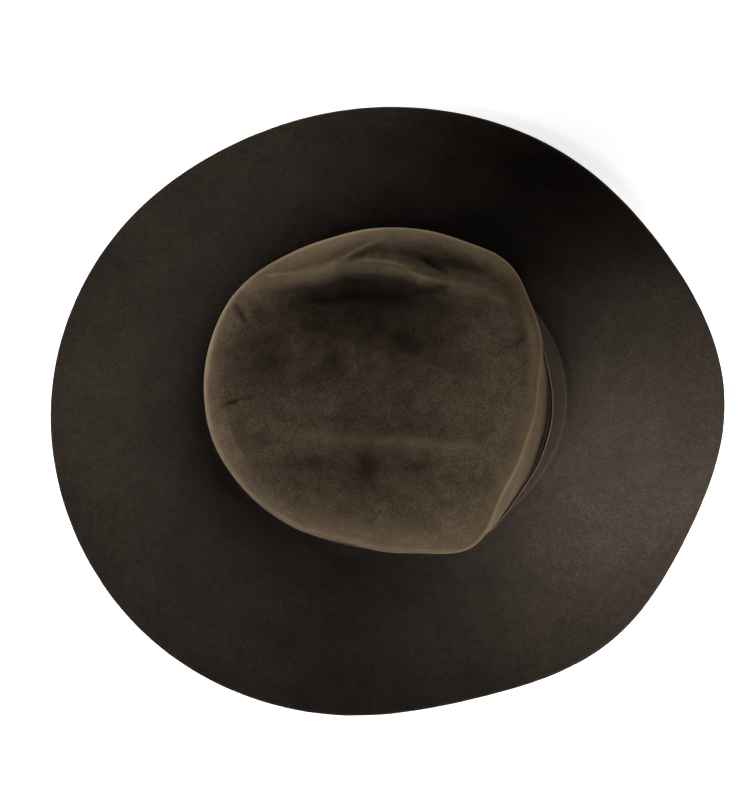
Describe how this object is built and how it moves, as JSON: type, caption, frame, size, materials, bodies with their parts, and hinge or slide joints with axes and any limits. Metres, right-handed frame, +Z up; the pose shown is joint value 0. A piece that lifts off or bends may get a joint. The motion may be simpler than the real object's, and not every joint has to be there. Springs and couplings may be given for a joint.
{
  "type": "western felt hat",
  "caption": "Wide-brimmed brown felt western hat with a dented flat-topped crown, ribbon band, lining and leather sweatband; worn on the head or rests on its brim.",
  "frame": {"origin": "centre of the head opening, on the plane the flat part of the brim's underside rests on", "axes": "+X is the front of the hat, +Y the wearer's left, +Z up through the crown"},
  "size_m": [0.3942, 0.3536, 0.1084],
  "materials": {
    "felt": "fur felt, brushed nap, dark olive brown",
    "ribbon": "grosgrain ribbon, self coloured",
    "leather": "thin finished hat leather",
    "reed_plastic": "extruded cord",
    "tape_cloth": "plain woven cotton tape",
    "thread_tan": "twisted sewing thread",
    "thread_brown": "twisted sewing thread",
    "bow_satin": "narrow satin ribbon",
    "satin": "acetate satin lining",
    "piping_cord": "satin covered cord",
    "clear_film": "clear plastic film",
    "tag_cloth": "woven blank tag"
  },
  "bodies": {
    "hat": {"felt_body": "felt", "hatband_ribbon": "ribbon", "bow_tail": "ribbon", "bow_loop": "ribbon", "bow_keeper": "ribbon", "hatband_tacks": "thread_brown", "sweatband": "leather", "sweatband_reed": "reed_plastic", "reed_tape": "tape_cloth", "sweatband_topstitch": "thread_tan", "attach_thread": "thread_brown", "back_seam_thread": "thread_tan", "back_seam_tape": "tape_cloth", "sweatband_bow": "bow_satin", "lining_side": "satin", "lining_tip": "satin", "lining_piping": "piping_cord", "tip_film": "clear_film", "film_thread": "thread_tan"},
    "tag": {"size_tag": "tag_cloth"}
  },
  "joints": [
    {"name": "size_tag_fold", "type": "hinge", "parent": "hat", "child": "tag", "pos_m": [-0.08328, 0.04289, 0.007], "axis": [0.604, 0.797, 0], "range_deg": [0, 100]}
  ]
}
